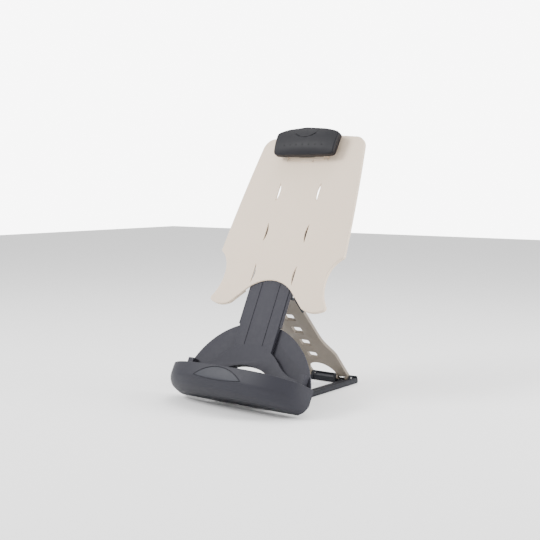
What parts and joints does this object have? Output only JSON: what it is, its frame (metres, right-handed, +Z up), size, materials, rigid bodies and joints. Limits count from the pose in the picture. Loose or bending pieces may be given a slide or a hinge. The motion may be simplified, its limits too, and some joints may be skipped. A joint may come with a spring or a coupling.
{
  "type": "document holder",
  "caption": "Leaning desk document holder: a slotted board slides on a hinged stand with a deep ledge tray, held by a folding strut, with a sprung paper clip on top",
  "frame": {"origin": "middle of the footprint's bounding box, on the desk under the feet", "axes": "+Z up, the readable side faces -Y, +X to the reader's right"},
  "size_m": [0.242, 0.2893, 0.4068],
  "materials": {
    "board": "fine matt moulded plastic, warm light beige",
    "strut": "fine matt moulded plastic, warm light beige",
    "column": "fine matt moulded plastic, dark slate grey",
    "frame": "fine matt moulded plastic, dark grey",
    "ledge": "fine matt moulded plastic, dark slate grey",
    "clip": "fine matt moulded plastic, dark slate grey",
    "badge": "smooth plastic, bare",
    "pin_steel": "drawn steel",
    "screw_steel": "zinc plated steel",
    "soft_pad": "soft black rubber",
    "slider": "low friction plastic"
  },
  "bodies": {
    "base": {"base_frame": "frame", "base_feet": "soft_pad", "strut_pivot_pins": "pin_steel", "base_hinge_pins": "pin_steel"},
    "stand": {"column": "column", "fan_plate": "column", "ledge_tray": "ledge", "ledge_badge": "badge", "column_screws": "screw_steel", "ledge_screws": "screw_steel"},
    "strut": {"strut": "strut", "strut_yoke": "frame", "head_pin": "pin_steel"},
    "carriage": {"track_carriage": "slider", "carriage_pad": "soft_pad"},
    "board": {"document_board": "board", "guide_left": "slider", "guide_right": "slider", "guide_screws": "screw_steel", "guide_pads": "soft_pad"},
    "clip_mount": {"clip_bracket": "slider", "clip_pin": "pin_steel", "clip_spring": "screw_steel"},
    "clip": {"clip_cover": "clip", "thumb_pad": "badge", "clip_jaw": "soft_pad"}
  },
  "joints": [
    {"name": "stand_recline", "type": "hinge", "parent": "base", "child": "stand", "pos_m": [0, -0.0641, 0.0365], "axis": [-1, 0, 0], "range_deg": [0, 20]},
    {"name": "strut_swing", "type": "hinge", "parent": "base", "child": "strut", "pos_m": [0, 0.129, 0.0105], "axis": [-1, 0, 0], "range_deg": [0, 41]},
    {"name": "carriage_pivot", "type": "hinge", "parent": "strut", "child": "carriage", "pos_m": [0, -0.00405, 0.15284], "axis": [-1, 0, 0], "range_deg": [-21, 0]},
    {"name": "board_slide", "type": "slide", "parent": "stand", "child": "board", "axis": [0, 0.4587, 0.8886], "range_m": [-0.09, 0]},
    {"name": "clip_unplug", "type": "slide", "parent": "board", "child": "clip_mount", "axis": [0, -0.8886, 0.4587], "range_m": [0, 0.008]},
    {"name": "clip_open", "type": "hinge", "parent": "clip_mount", "child": "clip", "pos_m": [0, 0.08043, 0.37974], "axis": [-1, 0, 0], "range_deg": [0, 20], "stiffness_Nm_per_rad": 0.05, "springref_deg": -17.19}
  ],
  "couplings": [
    {"joint": "strut_swing", "follows": "stand_recline", "ratio": 2},
    {"joint": "carriage_pivot", "follows": "stand_recline", "ratio": -1}
  ]
}
